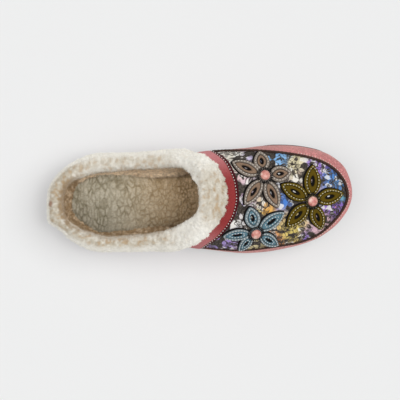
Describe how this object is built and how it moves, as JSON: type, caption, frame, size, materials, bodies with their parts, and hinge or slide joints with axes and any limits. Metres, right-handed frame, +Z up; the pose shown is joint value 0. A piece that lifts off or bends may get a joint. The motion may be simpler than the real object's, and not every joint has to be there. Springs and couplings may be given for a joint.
{
  "type": "clog slipper",
  "caption": "Low-backed fleece-lined clog slipper with a suede side wall, applique flower vamp, rolled fleece cuff, padded insole and moulded outsole.",
  "frame": {"origin": "on the floor under the middle of the shoe's box", "axes": "+X from heel to toe, +Y towards the big toe's side (medial), +Z up"},
  "size_m": [0.2662, 0.095, 0.0873],
  "materials": {
    "outsole": "matte dark brown rubber",
    "insole": "grey-beige pebbled fleece",
    "side_suede": "dusty pink-red suede with a short nap",
    "fleece": "cream fleece pile",
    "band_suede": "deep red suede",
    "piping": "dark brown leather welt",
    "vamp_print": "pearly many-coloured print with dark flock",
    "taupe_petals": "taupe leather",
    "olive_petals": "olive leather",
    "blue_petals": "slate blue leather",
    "stitching": "off-white thread",
    "rosette": "black looped braid",
    "button": "pearly pink"
  },
  "bodies": {
    "root": {"outsole": "outsole", "insole": "insole", "upper": "side_suede", "fleece_cuff": "fleece", "collar_band": "band_suede", "vamp_piping": "piping", "taupe_petal_1": "taupe_petals", "taupe_petal_2": "taupe_petals", "taupe_petal_3": "taupe_petals", "taupe_petal_4": "taupe_petals", "taupe_petal_5": "taupe_petals", "olive_petal_1": "olive_petals", "olive_petal_2": "olive_petals", "olive_petal_3": "olive_petals", "olive_petal_4": "olive_petals", "olive_petal_5": "olive_petals", "blue_petal_1": "blue_petals", "blue_petal_2": "blue_petals", "blue_petal_3": "blue_petals", "blue_petal_4": "blue_petals", "blue_petal_5": "blue_petals", "taupe_rosette": "rosette", "olive_rosette": "rosette", "blue_rosette": "rosette", "taupe_button": "button", "olive_button": "button", "blue_button": "button"}
  },
  "joints": []
}
